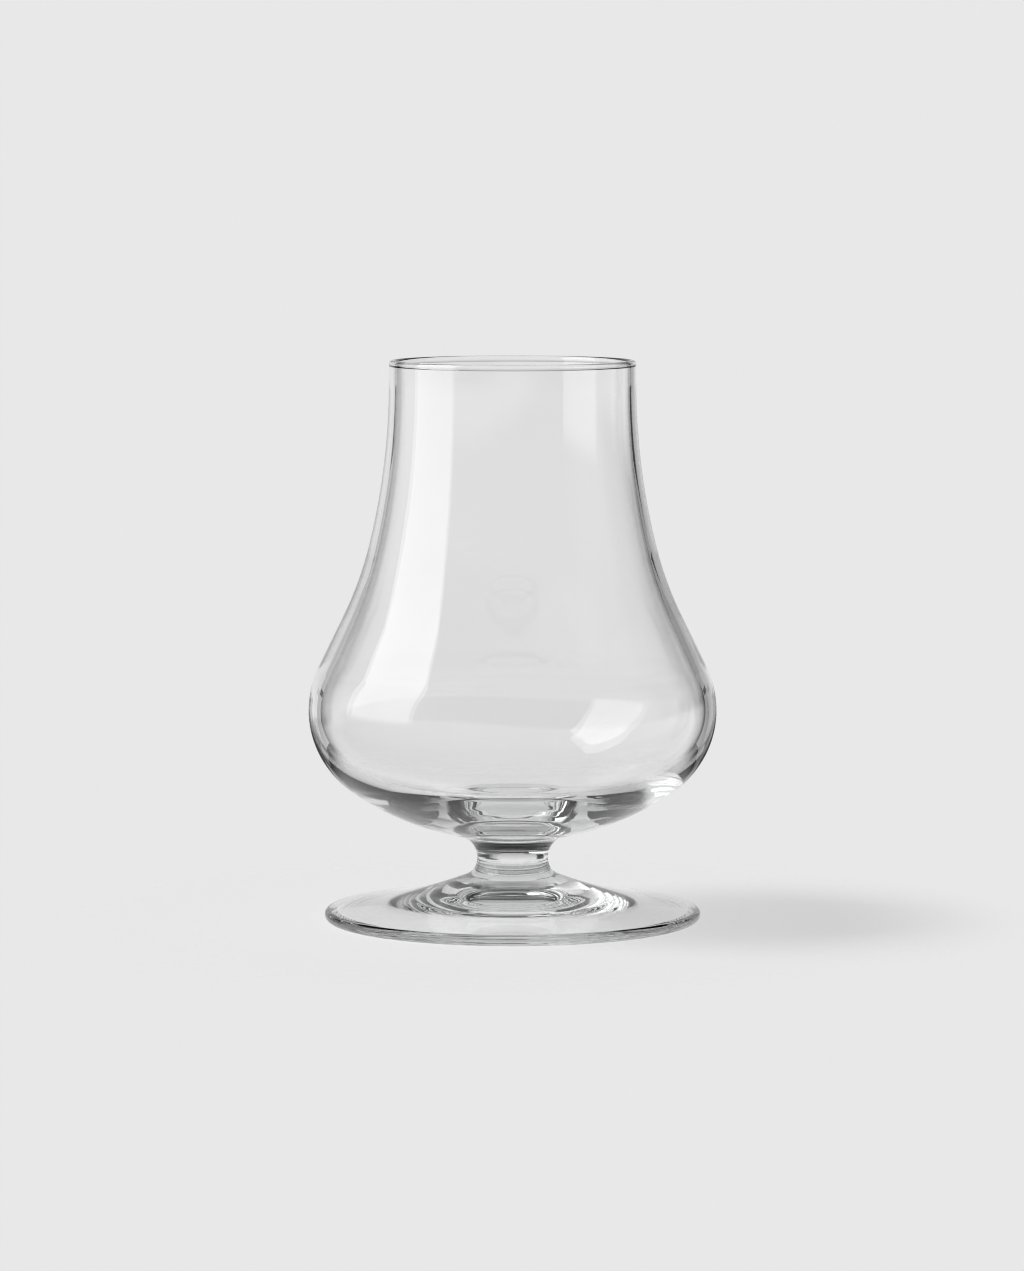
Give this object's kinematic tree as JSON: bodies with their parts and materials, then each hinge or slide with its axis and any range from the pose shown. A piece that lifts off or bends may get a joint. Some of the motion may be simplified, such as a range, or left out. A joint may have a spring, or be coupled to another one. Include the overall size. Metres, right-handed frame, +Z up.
{
  "type": "whisky nosing glass",
  "caption": "Clear footed nosing glass: a wide belly drawing in to a tall neck, a short waisted stem and a flat round foot.",
  "frame": {"origin": "centre of the foot's bearing face, on the surface that the glass stands on", "axes": "+Z up along the axis of the glass, towards the mouth; X and Y are any two square directions, because the glass is a solid of revolution"},
  "size_m": [0.084, 0.084, 0.1153],
  "materials": {
    "blown_glass": "clear blown crystal, fire-polished lip",
    "drawn_glass": "clear drawn crystal, smooth",
    "pressed_glass": "clear pressed crystal, fire-polished edge"
  },
  "bodies": {
    "root": {"bowl": "blown_glass", "stem": "drawn_glass", "foot": "pressed_glass"}
  },
  "joints": []
}
